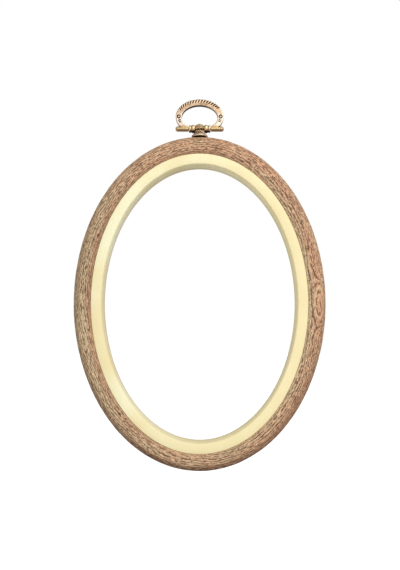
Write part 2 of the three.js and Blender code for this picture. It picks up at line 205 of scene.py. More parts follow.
class HoopFinish(bpy.types.PropertyGroup):
    """Colours of the finishes."""

    vinyl_olive: shade("Vinyl, olive side", "Ridges where the grain is yellower", 0.82, 0.73, 0.58)
    vinyl_pink: shade("Vinyl, pink side", "Ridges where the grain is redder", 0.86, 0.655, 0.52)
    # Also the colour of the painted highlight in the pale flecks and crest lines.
    vinyl_rubbed_and_highlight: shade("Vinyl, rubbed", "Where the ridges are rubbed palest", 0.98, 0.87, 0.70)
    # Also the colour of the painted shade along the seam, on the outer rim and low on the ring.
    vinyl_grooves_and_shade: shade("Grain lines", "Dark wipe left in the grooves", 0.34, 0.19, 0.12)
    cream: shade("Cream", "Moulded plastic of the inner ring", 0.97, 0.91, 0.72)
    cream_pale: shade("Cream, paler", "The same plastic where it has yellowed less", 0.97, 0.95, 0.80)
    cream_deep: shade("Cream, deeper", "Where the plastic is a little yellower", 0.94, 0.88, 0.68)
    loop_metal: shade("Loop", "Bright plating of the hanging loop", 0.74, 0.62, 0.50)
    flank_metal: shade("Loop's flanks", "Paler plating low on the bow", 0.88, 0.80, 0.73)
    knuckle_metal: shade("Loop near the pin", "Yellower plating of the knuckles", 0.74, 0.62, 0.43)
    post_metal: shade("Post", "Bright plating of the post", 0.93, 0.80, 0.60)
    flange_metal: shade("Post near the ring", "Redder plating of neck and flange", 0.80, 0.69, 0.59)
    pin_metal: shade("Pin", "Plating of the pin", 0.78, 0.66, 0.42)
    patina: shade("Patina", "Darkened plating in the hollows", 0.27, 0.18, 0.10)
    steel: shade("Steel", "Zinc plating of screw and washer", 0.77, 0.75, 0.71)


class HoopStage(bpy.types.PropertyGroup):
    """Camera, light and floor."""

    lens: FloatProperty(name="Lens", description="Focal length", default=38.146, unit="CAMERA")
    distance: length("Distance", "From the camera to the hoop's face", 280.14)
    floor_drop: length("Floor", "From the hoop down to the floor", 90.0)
    key: FloatProperty(name="Key", description="Key lamp, in front and above", default=2.6, unit="POWER")
    sky: FloatProperty(name="Sky", description="Light from all round", default=1.15, min=0.0)
    front: FloatProperty(name="Front", description="What metal mirrors in front", default=0.72, min=0.0)
    sides: FloatProperty(name="Sides", description="What metal mirrors elsewhere", default=0.26, min=0.0)


def in_mm(group):
    """A property group's values, with its lengths in millimetres."""
    values = {}
    for key, prop in group.bl_rna.properties.items():
        if key in ("rna_type", "name"):
            continue
        value = getattr(group, key)
        values[key] = value / MM if getattr(prop, "unit", "") == "LENGTH" else value
    return SimpleNamespace(**values)


def colour(value):
    return (*value, 1.0)


def ellipse_arc(centre, radii, start, end, steps):
    """Points of an elliptical arc, angles in degrees, both ends included."""
    angle = np.radians(np.linspace(start, end, steps + 1))
    return np.stack([centre[0] + radii[0] * np.cos(angle), centre[1] + radii[1] * np.sin(angle)], 1)


def rounded_path(corners, steps=5):
    """A line through corners (x, y, radius), each rounded off. The first and last stay as they are."""
    points = [np.array(corners[0][:2])]
    for before, corner, after in zip(corners, corners[1:], corners[2:]):
        here = np.array(corner[:2])
        if corner[2] == 0:
            points.append(here)
            continue
        back = np.array(before[:2]) - here
        ahead = np.array(after[:2]) - here
        back /= np.linalg.norm(back)
        ahead /= np.linalg.norm(ahead)
        half = math.acos(np.clip(np.dot(back, ahead), -1, 1)) / 2
        cut = corner[2] / math.tan(half)
        for share in np.linspace(0, 1, steps + 1):
            first = here + back * cut * (1 - share)
            second = here + ahead * cut * share
            points.append(first * (1 - share) + second * share)
    points.append(np.array(corners[-1][:2]))
    return np.array(points)


def travelled(points):
    """How far along a line each of its points lies."""
    steps = np.linalg.norm(np.diff(points, axis=0), axis=1)
    return np.concatenate([[0.0], np.cumsum(steps)])


def resampled(points, spacing):
    """The same line with points about as far apart as asked."""
    along = travelled(points)
    count = max(int(round(along[-1] / spacing)), 1)
    wanted = np.linspace(0, along[-1], count + 1)
    return np.stack([np.interp(wanted, along, points[:, k]) for k in (0, 1)], 1)


def packed_line(points, spacing):
    """The line with points added where they are further apart than asked."""
    out = [points[0]]
    for here, there in zip(points, points[1:]):
        count = max(int(math.ceil(np.linalg.norm(there - here) / spacing)), 1)
        for k in range(1, count + 1):
            out.append(here + (there - here) * k / count)
    return np.array(out)


def grid_faces(rows, columns):
    """Quads of a grid that closes on itself both ways."""
    i, j = np.meshgrid(np.arange(rows), np.arange(columns), indexing="ij")
    here = i * columns + j
    right = i * columns + (j + 1) % columns
    below = ((i + 1) % rows) * columns + j
    across = ((i + 1) % rows) * columns + (j + 1) % columns
    return np.stack([here, below, across, right], -1).reshape(-1, 4)


def new_piece(name, points, faces):
    """A smooth-shaded mesh object. Points are in millimetres until to_metres is called."""
    mesh = bpy.data.meshes.new(name)
    mesh.from_pydata(np.asarray(points).tolist(), [], [list(face) for face in faces])
    mesh.shade_smooth()
    piece = bpy.data.objects.new(name, mesh)
    bpy.context.scene.collection.objects.link(piece)
    return piece


def to_metres(piece):
    piece.data.transform(Matrix.Scale(MM, 4))
    piece.data.update()


def move(piece, x=0.0, y=0.0, z=0.0):
    piece.data.transform(Matrix.Translation((x, y, z)))
    return piece


def spin(piece, degrees, axis):
    piece.data.transform(Matrix.Rotation(math.radians(degrees), 4, axis))
    return piece


def drop(piece):
    mesh = piece.data
    bpy.data.objects.remove(piece)
    bpy.data.meshes.remove(mesh)


def settle(piece):
    """Applies a piece's modifiers."""
    graph = bpy.context.evaluated_depsgraph_get()
    mesh = bpy.data.meshes.new_from_object(piece.evaluated_get(graph), depsgraph=graph)
    old = piece.data
    piece.modifiers.clear()
    piece.data = mesh
    bpy.data.meshes.remove(old)
    mesh.name = piece.name
    if not mesh.vertices:
        raise RuntimeError(f"{piece.name} came out empty")


def combine(piece, others, operation):
    """Joins other pieces to this one, or cuts them from it, and drops them."""
    for other in others:
        modifier = piece.modifiers.new(operation.lower(), "BOOLEAN")
        modifier.operation = operation
        modifier.solver = "MANIFOLD"
        modifier.object = other
    settle(piece)
    for other in others:
        drop(other)
    return piece


def turned(name, profile, steps=48, reshape=None):
    """A solid of revolution about Z from (radius, height) points that start and end on the axis."""
    profile = np.asarray(profile, dtype=float)
    middle = profile[1:-1]
    angle = np.arange(steps) * 2 * math.pi / steps
    points = [(0, 0, profile[0][1])]
    for radius, height in middle:
        for a in angle:
            r = radius if reshape is None else reshape(radius, a, height)
            points.append((r * math.cos(a), r * math.sin(a), height))
    points.append((0, 0, profile[-1][1]))
    last = len(points) - 1
    faces = []
    for k in range(steps):
        following = (k + 1) % steps
        faces.append((0, 1 + following, 1 + k))
        for row in range(len(middle) - 1):
            low = 1 + row * steps
            high = low + steps
            faces.append((low + k, low + following, high + following, high + k))
        top = 1 + (len(middle) - 1) * steps
        faces.append((top + k, top + following, last))
    return new_piece(name, points, faces)


def rod(name, radius, low, high, steps=48):
    """A plain cylinder about Z."""
    return turned(name, [(0, low), (radius, low), (radius, high), (0, high)], steps)


def mirrored(half):
    """The other half of a profile that is the same on both sides of height 0."""
    return [(radius, -height) for radius, height in half[::-1]]


def about_x(piece):
    """Turns a solid from the Z axis onto the X axis."""
    return spin(piece, 90, "Y")


def block(name, size, centre):
    piece = new_piece(name, [(0, 0, 0)], [])
    shape = bmesh.new()
    bmesh.ops.create_cube(shape, size=1.0)
    bmesh.ops.scale(shape, vec=Vector(size), verts=shape.verts)
    bmesh.ops.translate(shape, vec=Vector(centre), verts=shape.verts)
    shape.to_mesh(piece.data)
    shape.free()
    return piece


def oval_place(sizes, t, offset):
    """Points at angle t from the oval's top, moved outwards by offset square to the oval."""
    half_width = INNER_HIGH[0] - sizes.lip_reach
    half_height = (INNER_HIGH[2] - INNER_LOW[2]) / 2 - sizes.lip_reach
    out_x = np.sin(t) / half_width
    out_z = np.cos(t) / half_height
    size = np.hypot(out_x, out_z)
    out_x = out_x / size
    out_z = out_z / size
    x = half_width * np.sin(t) + offset * out_x
    z = half_height * np.cos(t) + offset * out_z + OVAL_Z
    return x, z, out_x, out_z


def even_turns(sizes, steps, offset):
    """Angles whose places are evenly spaced along the ring, and the ring's length."""
    t = np.linspace(0, 2 * math.pi, 4001)
    x, z, _, _ = oval_place(sizes, t, offset)
    along = travelled(np.stack([x, z], 1))
    return np.interp(np.arange(steps) * along[-1] / steps, along, t), along[-1]


def swept_ring(name, sizes, turns, section, lift=None):
    """Sweeps a closed section (outwards, y) round the oval, raised by lift square to the section."""
    ahead = np.roll(section, -1, axis=0)
    behind = np.roll(section, 1, axis=0)
    tangent = ahead - behind
    tangent /= np.linalg.norm(tangent, axis=1)[:, None]
    outwards = np.stack([tangent[:, 1], -tangent[:, 0]], 1)
    rise = np.zeros((len(turns), len(section))) if lift is None else lift
    offset = section[None, :, 0] + rise * outwards[None, :, 0]
    depth = section[None, :, 1] + rise * outwards[None, :, 1]
    x, z, _, _ = oval_place(sizes, turns[:, None], offset)
    points = np.stack([x, depth, z], -1).reshape(-1, 3)
    return new_piece(name, points, grid_faces(len(turns), len(section)))


def blend(low, high, value):
    """Smooth step from 0 at low to 1 at high."""
    share = np.clip((value - low) / (high - low), 0, 1)
    return share * share * (3 - 2 * share)


def skin_noise(along, across, ring_length, cell_along, cell_across, seed):
    """Smooth noise from 0 to 1 over the ring's skin. It closes on itself along the ring."""
    columns = max(int(round(ring_length / cell_along)), 3)
    a = along / ring_length * columns
    b = across / cell_across + 3.0
    values = np.random.default_rng(seed).random((columns, int(np.max(b)) + 3))
    i = np.floor(a).astype(int)
    j = np.floor(b).astype(int)
    fa = a - i
    fb = b - j
    fa = fa * fa * (3 - 2 * fa)
    fb = fb * fb * (3 - 2 * fb)
    low = values[i % columns, j] * (1 - fb) + values[i % columns, j + 1] * fb
    high = values[(i + 1) % columns, j] * (1 - fb) + values[(i + 1) % columns, j + 1] * fb
    return low * (1 - fa) + high * fa


def wood_figure(along, across, ring_length, pitch):
    """The grain over the ring's skin: which line each point lies on, and how proud it is.

    Lines run round the ring at a shallow angle. On the right they close round one long heart.
    """

    def noise(cell_along, cell_across, seed):
        return skin_noise(along, across, ring_length, cell_along, cell_across, seed) * 2 - 1

    drift = 2.6 * noise(46, 30, 11) + 1.0 * noise(17, 5.0, 14)
    waver = 0.16 * noise(5.0, 1.6, 15)
    beyond = along - HEART_TURN * ring_length
    heart = np.sqrt((across - HEART_ACROSS + 0.3 * noise(12, 4.0, 16)) ** 2 + (0.31 * beyond) ** 2)
    share = np.exp(-((beyond / 14.0) ** 4)) * np.exp(-(((across - HEART_ACROSS) / 4.0) ** 4))
    line = (across + drift + (0.5 * heart - across - drift) * share + waver) / pitch
    proud = 0.5 + 0.5 * noise(2.4, 0.7, 21)
    return line, proud, np.exp(-(((heart - 2.1) / 0.26) ** 2)) * share


class Value:
    """An output in a shader tree that can be reckoned with: sums and products become Math nodes."""

    def __init__(self, tree, socket):
        self.tree = tree
        self.socket = socket

    def __add__(self, other):
        return calculated("ADD", self, other)

    def __sub__(self, other):
        return calculated("SUBTRACT", self, other)

    def __rsub__(self, other):
        return calculated("SUBTRACT", other, self)

    def __mul__(self, other):
        return calculated("MULTIPLY", self, other)

    def ranged(self, low, high, to_low=0.0, to_high=1.0):
        """The value mapped smoothly from one range onto another."""
        limits = {"From Min": low, "From Max": high, "To Min": to_low, "To Max": to_high}
        return output_of(
            self.tree, "ShaderNodeMapRange", "Result", {"Value": self, **limits},
            interpolation_type="SMOOTHSTEP",
        )


def fill(node, inputs):
    """Sets a node's inputs, given by name or number, to plain values or to other nodes' outputs."""
    for key, value in inputs.items():
        if isinstance(value, Value):
            value.tree.links.new(value.socket, node.inputs[key])
        else:
            node.inputs[key].default_value = value


def put(tree, kind, inputs=None, **settings):
    """Adds a node."""
    node = tree.nodes.new(kind)
    for key, value in settings.items():
        setattr(node, key, value)
    fill(node, inputs or {})
    return node


def output_of(tree, kind, output, inputs=None, **settings):
    """Adds a node and gives one of its outputs."""
    return Value(tree, put(tree, kind, inputs, **settings).outputs[output])


def calculated(operation, *values):
    """A Math node's result. At least one of the values comes from a tree."""
    tree = next(value.tree for value in values if isinstance(value, Value))
    return output_of(tree, "ShaderNodeMath", 0, dict(enumerate(values)), operation=operation)


def greatest(first, *others):
    for other in others:
        first = calculated("MAXIMUM", first, other)
    return first


def mixed(tree, share, first, second, blend_type="MIX"):
    """A colour between two others."""
    inputs = {0: share, 6: first, 7: second}
    return output_of(tree, "ShaderNodeMix", 2, inputs, data_type="RGBA", blend_type=blend_type)


def spotted(tree, place, scale, detail=3.0, roughness=0.55):
    """Noise from 0 to 1 at a place."""
    inputs = {"Vector": place, "Scale": scale, "Detail": detail, "Roughness": roughness}
    return output_of(tree, "ShaderNodeTexNoise", "Fac", inputs)


def object_place(tree, axis=None):
    """The place in the piece's own axes, or only one of its coordinates."""
    place = output_of(tree, "ShaderNodeTexCoord", "Object")
    return place if axis is None else output_of(tree, "ShaderNodeSeparateXYZ", axis, {0: place})


def attribute(tree, name, output="Fac"):
    return output_of(tree, "ShaderNodeAttribute", output, attribute_name=name, attribute_type="GEOMETRY")


def new_group(name, inputs):
    """A shader node group from a place and other inputs to colour, roughness and height."""
    tree = bpy.data.node_groups.new(name, "ShaderNodeTree")
    tree.interface.new_socket("Place", in_out="INPUT", socket_type="NodeSocketVector")
    for label, default in inputs.items():
        kind = "NodeSocketColor" if isinstance(default, tuple) else "NodeSocketFloat"
        tree.interface.new_socket(label, in_out="INPUT", socket_type=kind).default_value = default
    for label, kind in (("Colour", "Color"), ("Roughness", "Float"), ("Height", "Float")):
        tree.interface.new_socket(label, in_out="OUTPUT", socket_type=f"NodeSocket{kind}")
    entry = tree.nodes.new("NodeGroupInput")
    get = {socket.name: Value(tree, socket) for socket in entry.outputs if socket.name}
    return tree, get, tree.nodes.new("NodeGroupOutput")


def mottling_group():
    """Soft, cloudy drift between two colours, with fine specks and a little unevenness of the skin."""
    tree, get, leave = new_group("Soft mottling", {
        "Colour": WHITE, "Second colour": WHITE, "Cloud scale": 20.0, "Speck scale": 900.0,
        "Roughness": 0.4, "Unevenness": 0.08,
    })
    clouds = spotted(tree, get["Place"], get["Cloud scale"], 4.0, 0.5)
    specks = spotted(tree, get["Place"], get["Speck scale"], 2.0, 0.6)
    swing = (specks - 0.5) * get["Unevenness"]
    change = (clouds - 0.5) * get["Unevenness"]
    fill(leave, {
        "Colour": mixed(tree, clouds.ranged(0.32, 0.72), get["Colour"], get["Second colour"]),
        "Roughness": get["Roughness"] + (swing + change),
        "Height": specks * 0.35 + clouds,
    })


def plating_group():
    """Aged plating: bright where hands rub it, dark and dull in the hollows, with a cloudy tarnish. The
    crests' paler colour is partly painted highlight, and the input for hollows also brings painted shade on
    surfaces that face down.
    """
    tree, get, leave = new_group("Aged plating", {
        "Hollow": 0.5, "Bright": WHITE, "Dark": (0.0, 0.0, 0.0, 1.0), "Tarnish": 0.3, "Polish": 0.3,
    })
    clouds = spotted(tree, get["Place"], 420.0, 4.0, 0.6)
    grit = spotted(tree, get["Place"], 3200.0, 3.0, 0.65)
    # level and recess carry real recesses together with painted shade.
    level = get["Hollow"] + (clouds - 0.5) * 0.35
    recess = level.ranged(0.52, 0.80)
    # Paler crests: real wear, and partly painted highlight.
    rubbed = level.ranged(0.46, 0.25)
    film = clouds.ranged(0.40, 0.75) * get["Tarnish"]
    covered = greatest(recess, film) * (1.0 - rubbed * 0.7)
    toned = mixed(tree, covered, get["Bright"], get["Dark"])
    fill(leave, {
        "Colour": mixed(tree, rubbed * 0.25, toned, (0.95, 0.80, 0.60, 1.0)),
        "Roughness": get["Polish"] + covered * 0.32 + grit * 0.10,
        "Height": grit + clouds,
    })


def new_material(name):
    """A material with its node tree and its shader."""
    if "Soft mottling" not in bpy.data.node_groups:
        mottling_group()
        plating_group()
    material = bpy.data.materials.new(name)
    material.use_nodes = True
    tree = material.node_tree
    tree.nodes.clear()
    shader = tree.nodes.new("ShaderNodeBsdfPrincipled")
    put(tree, "ShaderNodeOutputMaterial", {"Surface": Value(tree, shader.outputs[0])})
    return material, tree, shader


def effect(tree, name, inputs):
    """Places a shared effect in a material and gives its outputs."""
    group = bpy.data.node_groups[name]
    node = put(tree, "ShaderNodeGroup", node_tree=group)
    fill(node, {"Place": object_place(tree), **inputs})
    return {socket.name: Value(tree, socket) for socket in node.outputs}


def bumped(tree, height, strength, distance):
    """A normal bumped by a height. The distance is in millimetres."""
    inputs = {"Height": height, "Strength": strength, "Distance": distance * MM}
    return output_of(tree, "ShaderNodeBump", "Normal", inputs)


def vinyl_material(finish):
    """Soft vinyl with an embossed wood grain. Dark wipe stays in the lines, the ridges are rubbed clean.
    The pale flecks and crest lines are partly painted highlight, and the dark marks along the seam, on the
    outer rim and low on the ring are partly painted shade.
    """
    material, tree, shader = new_material("grained vinyl")
    place = attribute(tree, "grain_place", "Vector")
    line = attribute(tree, "grain_line")

    def stretched(along, across, detail, roughness=0.5):
        inputs = {0: place, 1: (along, along, across)}
        scaled = output_of(tree, "ShaderNodeVectorMath", 0, inputs, operation="MULTIPLY")
        return spotted(tree, scaled, 1.0, detail, roughness)

    def lines(count, shift, thin, wide):
        return calculated("PINGPONG", line * count + shift, 0.5).ranged(wide, thin)

    fibres = stretched(0.42, 2.2, 3.0, 0.75)
    streaks = stretched(0.16, 1.4, 2.0)
    waver = stretched(0.5, 1.8, 2.0) - 0.5
    broken = stretched(0.34, 1.5, 2.0).ranged(0.38, 0.56)
    short = stretched(0.5, 2.4, 2.0).ranged(0.44, 0.60)
    main = lines(1.0, waver, 0.10, 0.32) * broken
    fine = lines(2.0, waver * 1.6, 0.10, 0.30) * short
    dashes = stretched(0.7, 2.4, 1.5, 0.4).ranged(0.58, 0.68)
    # Pale crest lines beside the grooves: painted highlight along the relief's edges.
    crest = lines(1.0, waver + 0.5, 0.06, 0.22) * short
    heart = attribute(tree, "grain_heart") * 0.6
    groove = greatest(main * 0.9, fine * 0.4, dashes * 0.9) * attribute(tree, "grain_cut") * (1.0 - heart)
    specks = stretched(0.9, 2.3, 2.0).ranged(0.53, 0.62)
    # Pale flecks: the heart's outline, and painted highlight where specks and crest lines catch the light.
    flecks = greatest(greatest(specks, crest) * attribute(tree, "grain_pale"), heart)

    clouds = spotted(tree, object_place(tree), 26.0, 3.0, 0.5)
    tint = attribute(tree, "grain_tint") - 0.2 + streaks * 0.4
    ridge = mixed(tree, tint, colour(finish.vinyl_olive), colour(finish.vinyl_pink))
    light = fibres.ranged(0.34, 0.66, 0.50, 1.22) * clouds.ranged(0.3, 0.7, 0.88, 1.06)
    light = output_of(tree, "ShaderNodeCombineXYZ", 0, {0: light, 1: light, 2: light})
    lit = mixed(tree, 1.0, ridge, light, "MULTIPLY")
    lit = mixed(tree, flecks * 0.85, lit, colour(finish.vinyl_rubbed_and_highlight))
    # Darkening of the outer rim: painted shade, with a little real stain.
    stain_and_shade_at_rim = attribute(tree, "grain_rim") * stretched(0.5, 1.7, 3.0, 0.6).ranged(0.34, 0.58, 0.36, 1.0)
    # The dark colour covers the grooves, and painted shade from the seam, rim and wipe marks.
    dark = greatest(groove, attribute(tree, "edge"), stain_and_shade_at_rim, attribute(tree, "grain_wipe"))
    fill(shader, {
        "Base Color": mixed(tree, dark * 0.88, lit, colour(finish.vinyl_grooves_and_shade)),
        "Roughness": dark * 0.22 + 0.50,
        "Specular IOR Level": 0.12,
        "Normal": bumped(tree, fibres * 0.5 - groove + flecks * 0.4, 0.8, 0.14),
    })
    return material


def plastic_material(finish):
    """Rigid cream plastic with a soft gloss. It is darkened towards the back as painted shade, pinker on
    the left and greener and darker on the right, and its face is yellower on the right.
    """
    material, tree, shader = new_material("cream plastic")
    towards_right = object_place(tree, "X").ranged(-0.045, 0.040)
    behind = object_place(tree, "Y").ranged(0.0, 0.0050)
    skin = effect(tree, "Soft mottling", {
        "Colour": mixed(tree, towards_right, colour(finish.cream_pale), colour(finish.cream)),
        "Second colour": colour(finish.cream_deep), "Cloud scale": 34.0, "Speck scale": 1500.0,
        "Roughness": 0.44, "Unevenness": 0.12,
    })
    # Painted shade: the cream darkens towards the back, pinker on the left and greener and darker on the
    # right.
    back_shade_colour = mixed(tree, towards_right, (0.84, 0.74, 0.88, 1.0), (0.76, 0.80, 0.71, 1.0))
    painted_back_shade = mixed(tree, behind, WHITE, back_shade_colour)
    fill(shader, {
        "Base Color": mixed(tree, 1.0, skin["Colour"], painted_back_shade, "MULTIPLY"), "Roughness": skin["Roughness"],
        "Specular IOR Level": 0.22, "Normal": bumped(tree, skin["Height"], 0.10, 0.06),
    })
    return material


def cover(tree, shader, skin, metallic, strength, distance):
    """Gives a shader the colour, roughness and height of a shared effect."""
    fill(shader, {
        "Base Color": skin["Colour"], "Roughness": skin["Roughness"], "Metallic": metallic,
        "Normal": bumped(tree, skin["Height"], strength, distance),
    })


def brass_material(name, bright, low_bright, turn_z, patina, tarnish, polish, between=None):
    """Antique plating on a casting, with another tone below a height in millimetres, and one between."""
    material, tree, shader = new_material(name)
    height = object_place(tree, "Z")
    upper = colour(bright)
    if between is not None:
        share = height.ranged((turn_z + 2) * MM, (turn_z + 8) * MM)
        upper = mixed(tree, share, colour(between), upper)
    share = height.ranged((turn_z - 0.6) * MM, (turn_z + 0.6) * MM)
    # This mark carries painted shade as well as real recesses.
    plating = effect(tree, "Aged plating", {
        "Hollow": attribute(tree, "hollow"), "Bright": mixed(tree, share, colour(low_bright), upper),
        "Dark": colour(patina), "Tarnish": tarnish, "Polish": polish,
    })
    cover(tree, shader, plating, 0.9, 0.25, 0.05)
    return material


def steel_material(name, base, polish):
    """Zinc-plated steel with a cloudy, slightly uneven plating."""
    material, tree, shader = new_material(name)
    skin = effect(tree, "Soft mottling", {
        "Colour": colour(base), "Second colour": colour([c * 0.72 for c in base]), "Cloud scale": 500.0,
        "Speck scale": 6000.0, "Roughness": polish, "Unevenness": 0.25,
    })
    cover(tree, shader, skin, 0.95, 0.2, 0.03)
    return material


def store(piece, name, kind, values):
    """Keeps a value for each of a mesh's points."""
    layer = piece.data.attributes.new(name, kind, "POINT")
    field = "vector" if kind == "FLOAT_VECTOR" else "value"
    layer.data.foreach_set(field, np.asarray(values, dtype=np.float32).ravel())


def mark_hollows(piece, painted_shade=None, reach=0.10, rounds=14):
    """Stores for each point 0 on crests, 0.5 on flats and 1 in recesses, raised further by any painted
    shade that is given.
    """
    mesh = piece.data
    count = len(mesh.vertices)
    points = np.empty((count, 3))
    mesh.vertices.foreach_get("co", points.ravel())
    normals = np.empty((count, 3))
    mesh.vertices.foreach_get("normal", normals.ravel())
    edges = np.empty(len(mesh.edges) * 2, dtype=np.int64)
    mesh.edges.foreach_get("vertices", edges)
    first, second = edges.reshape(-1, 2).T
    near = np.bincount(first, minlength=count) + np.bincount(second, minlength=count)
    smooth = points.copy()
    for _ in range(rounds):
        total = np.zeros_like(smooth)
        for k in range(3):
            total[:, k] = np.bincount(first, smooth[second, k], count)
            total[:, k] += np.bincount(second, smooth[first, k], count)
        smooth = total / np.maximum(near, 1)[:, None]
    above = np.einsum("ij,ij->i", smooth - points, normals) / reach
    # Painted shade is added on top of the real recesses.
    if painted_shade is not None:
        above = above + painted_shade(points, normals)
    store(piece, "hollow", "FLOAT", np.clip(0.5 + above, 0, 1))


def cast(piece, grain):
    """Gives joined solids one skin with softened edges and fillets, as a casting has."""
    remesh = piece.modifiers.new("skin", "REMESH")
    remesh.mode = "VOXEL"
    remesh.voxel_size = grain
    remesh.use_smooth_shade = True
    soften = piece.modifiers.new("soften", "SMOOTH")
    soften.factor = 0.5
    soften.iterations = 3
    settle(piece)
    piece.data.shade_smooth()


def dress(piece, body, node, material):
    """Puts a finished piece in a CAD node's place."""
    to_metres(piece)
    piece.data.materials.clear()
    piece.data.materials.append(material)
    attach(piece, body)
    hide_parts(node)


def wood_wear(turn, across, mist):
    """How the skin is darkened, tinted and paled, by the turn from the top and the way across. Part of each
    mark is painted light: painted shade along the seam, strongest at the top, and low on the outer side and
    outer rim, and painted highlight in pale flecks on the right; the rest is a real stain and wipe.
    """
    side = np.sin(turn)
    left = np.clip(-side, 0, 1)
    right = np.clip(side, 0, 1)
    low = 0.5 - 0.5 * np.cos(turn)
    # Dark band along the seam: painted shade, strongest at the top and weakest on the right and low down,
    # and on the left also a reddish stain.
    edge = (1 - blend(0.4, 3.0, across)) * (0.46 - 0.38 * right - 0.24 * low + 0.08 * left)
    right_beside = 0.12 + 0.85 * blend(1.8, 4.2, across)
    beside = np.where(side > 0, right_beside, 0.75 - 0.70 * blend(1.6, 3.4, across))
    plain = 0.85 - 0.35 * low * (1 - right)
    tint = plain + (beside - plain) * side**2 + 0.5 * mist
    # Outer rim: painted shade, darkest low down and on the left, with a little real stain all round.
    rim = blend(4.4, 7.6, across + 2.2 * mist)
    rim = rim * (0.20 + 0.80 * low**2 + 0.25 * left * (1 - low) - 0.12 * right)
    # Thin outermost rim: painted shade, darker low down and on the left.
    thin = blend(8.8, 10.8, across + 1.6 * mist) * (0.22 + 0.50 * low + 0.40 * left - 0.10 * right)
    # Wipe: a random real wipe, plus painted shade on the left and low on the outer side.
    wipe = 0.02 + 0.16 * left * (1 - blend(1.8, 4.5, across))
    wipe = wipe + (0.08 + 0.20 * left * (1 - low)) * (1 - right) * blend(5.5, 9.0, across)
    wipe = wipe + 0.14 * low * blend(4.5, 7.0, across) + 0.16 * mist
    # Pale flecks: partly painted highlight, more on the right and most on the upper right's outer side.
    pale = 0.50 + 0.50 * (1 - blend(2.0, 4.5, across)) * right
    pale = pale + 0.35 * left * blend(2.5, 4.0, across) * (1 - blend(6.5, 8.5, across))
    pale = pale + 0.60 * right * (1 - low) * blend(5.0, 8.0, across)
    return {
        "edge": edge, "grain_wipe": wipe, "grain_tint": tint, "grain_rim": np.maximum(rim, thin),
        "grain_pale": pale,
    }


class HOOP_OT_outer_ring(bpy.types.Operator):
    """Build the outer ring with its embossed wood grain"""

    bl_idname = "hoop.outer_ring"
    bl_label = "Grained outer ring"

    @staticmethod
    def section(sizes):
        """The ring's section as its visible skin and the rest, both as (outwards, y) points."""
        back_y = RING_HIGH[1]
        crest_y = RING_LOW[1]
        wall = sizes.fit_gap / 2
        lip = sizes.lip_gap - wall
        edge_y = INNER_LOW[1] + sizes.lip_drop
        crest = sizes.crest_offset
        round_u = sizes.outer_width - sizes.back_round
        skin = np.concatenate([
            ellipse_arc((crest, edge_y), (crest - lip, edge_y - crest_y), 180, 270, 24),
            ellipse_arc((crest, 0), (sizes.outer_width - crest, -crest_y), 270, 360, 48)[1:],
            ellipse_arc((round_u, 0), (sizes.back_round, back_y), 0, 90, 36)[1:],
        ])
        rebate_u = sizes.lip_reach + sizes.fit_gap
        rebate_y = back_y - sizes.lip_thickness - sizes.fit_gap
        inside = rounded_path([
            (round_u, back_y, 0), (rebate_u, back_y, 0.2), (rebate_u, rebate_y, 0.12),
            (wall, rebate_y, 0.2), (wall, edge_y + 0.6, 0.1), (lip, edge_y + 0.35, 0.05), (lip, edge_y, 0),
        ])
        return resampled(skin, SKIN_SPACING), packed_line(inside, 0.9)[1:-1]

    @staticmethod
    def cutters(sizes, hanger):
        """What makes room for the washer, the screw, the post's shank and its flange."""
        inside_z = SCREW_LOW[2] - 3.0
        above_z = RING_HIGH[2] + 2.0
        shank_radius = hanger.screw_radius + hanger.running_gap + SHANK_WALL
        neck_z = PIN_Z - hanger.neck_height - hanger.boss_radius + hanger.boss_sunk
        flange_z = neck_z - hanger.flange_thickness
        seat_radius = hanger.flange_radius + sizes.post_seat_gap
        seat = turned("seat", [
            (0, flange_z - SEATING_GAP), (seat_radius - 0.1, flange_z - SEATING_GAP),
            (seat_radius, flange_z), (seat_radius + 0.08, flange_z + 0.14),
            (seat_radius + 0.28, flange_z + 0.26), (seat_radius + 0.6, flange_z + 0.34),
            (seat_radius + 0.6, above_z), (0, above_z),
        ], 96)
        # The seat's cut faces carry painted shade under the flange, through the edge mark.
        store(seat, "edge", "FLOAT", np.full(len(seat.data.vertices), SEAT_SHADE))
        tools = [
            rod("recess", WASHER_HIGH[0] + RECESS_GAP, inside_z, WASHER_HIGH[2] + SEATING_GAP, 64),
            rod("hole", hanger.screw_radius + HOLE_GAP, inside_z, above_z),
            rod("socket", shank_radius + SHANK_GAP, POST_LOW[2] - SEATING_GAP, above_z),
            seat,
        ]
        return [move(tool, y=PIN_Y) for tool in tools]

    def execute(self, context):
        sizes = in_mm(context.scene.hoop_rings)
        skin, inside = self.section(sizes)
        section = np.concatenate([skin, inside])
        turns, ring_length = even_turns(sizes, RING_STEPS, sizes.crest_offset)
        along = (np.arange(len(turns)) * ring_length / len(turns))[:, None]
        across = travelled(section)[None, :]
        skin_end = travelled(skin)[-1]
        line, proud, outline = wood_figure(along, across + 0 * along, ring_length, sizes.grain_pitch)
        strength = blend(0.15, 0.9, across) * (1 - blend(skin_end - 1.6, skin_end + 0.4, across))
        ridges = 0.5 - 0.5 * np.cos(2 * math.pi * line)
        relief = sizes.grain_depth * (0.55 * ridges + 0.45 * proud - 0.8) * strength
        ring = swept_ring("grained_outer_ring", sizes, turns, section, relief)
        turn = 2 * math.pi * along / ring_length
        reach = ring_length / (2 * math.pi)
        place = np.stack(np.broadcast_arrays(reach * np.cos(turn), reach * np.sin(turn), across), -1)
        mist = skin_noise(along, across, ring_length, 9.0, 2.4, 31) - 0.5
        store(ring, "grain_place", "FLOAT_VECTOR", place)
        store(ring, "grain_line", "FLOAT", line)
        # These marks carry painted shade and painted highlight besides the real stain and grain.
        marks = {"grain_cut": 0.2 + 0.8 * strength, **wood_wear(turn, across, mist), "grain_heart": outline}
        for name, values in marks.items():
            store(ring, name, "FLOAT", np.broadcast_to(np.clip(values, 0, 1), line.shape))
        combine(ring, self.cutters(sizes, in_mm(context.scene.hoop_hanger)), "DIFFERENCE")
        dress(ring, "frame", "outer_ring", vinyl_material(context.scene.hoop_finish))
        return {"FINISHED"}


